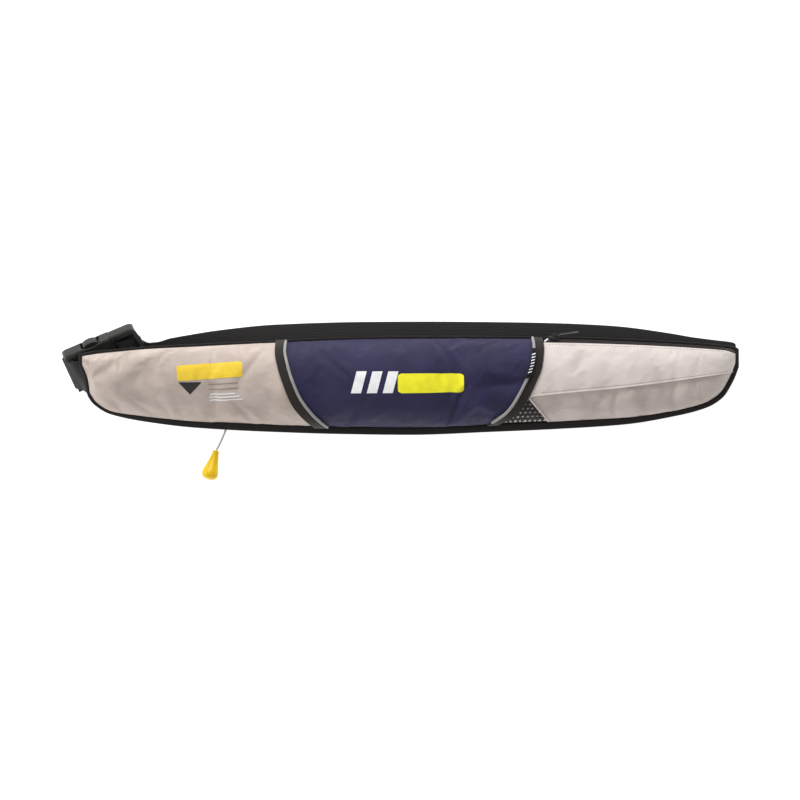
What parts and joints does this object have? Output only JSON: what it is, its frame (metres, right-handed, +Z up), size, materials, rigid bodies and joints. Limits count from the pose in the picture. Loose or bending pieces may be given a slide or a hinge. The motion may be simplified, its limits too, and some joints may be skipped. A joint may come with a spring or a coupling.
{
  "type": "inflatable belt pack",
  "caption": "Long padded waist pouch with a three-colour cover on a webbing belt, closed by a side-release buckle, with a zipped pocket and a corded pull handle.",
  "frame": {"origin": "middle of the pack's footprint on the floor it lies on, without the pull cord and handle", "axes": "+X along the pouch towards its zipped end, +Y towards its upper edge, +Z up off the floor"},
  "size_m": [0.74, 0.1736, 0.0771],
  "materials": {
    "cloth_black": "plain weave",
    "cloth_beige": "fine ripstop weave",
    "cloth_navy": "smooth coated weave",
    "bladder": "coated",
    "net": "net",
    "strip": "grosgrain",
    "piping": "reflective satin",
    "label": "woven",
    "print": "satin transfer",
    "zip_tape": "knitted tape",
    "zip_metal": "satin",
    "webbing": "ribbed webbing",
    "buckle": "satin",
    "cord": "braided",
    "handle": "satin"
  },
  "bodies": {
    "pack": {"back_panel": "cloth_black", "edge_binding": "cloth_black", "folded_bladder": "bladder", "left_panel": "cloth_beige", "centre_panel": "cloth_navy", "right_panel_upper": "cloth_beige", "right_panel_lower": "cloth_beige", "mesh_gusset": "net", "gusset_lining": "cloth_beige", "left_strip": "strip", "right_strip": "strip", "left_piping": "piping", "right_piping": "piping", "side_label": "label", "left_patch": "print", "centre_patch": "print", "zip_tape": "zip_tape", "zip_coil": "zip_metal", "zip_slider": "zip_metal", "belt_webbing": "webbing", "buckle_tab": "webbing", "buckle_female": "buckle", "buckle_male": "buckle", "pull_cord": "cord", "cord_guide": "buckle", "pull_toggle": "handle"},
    "puller": {"zip_puller": "zip_metal"}
  },
  "joints": [
    {"name": "zip_puller_swing", "type": "hinge", "parent": "pack", "child": "puller", "pos_m": [0.16809, 0.04638, 0.02203], "axis": [0.0136, -0.3038, 0.9526], "range_deg": [0, 150]}
  ]
}
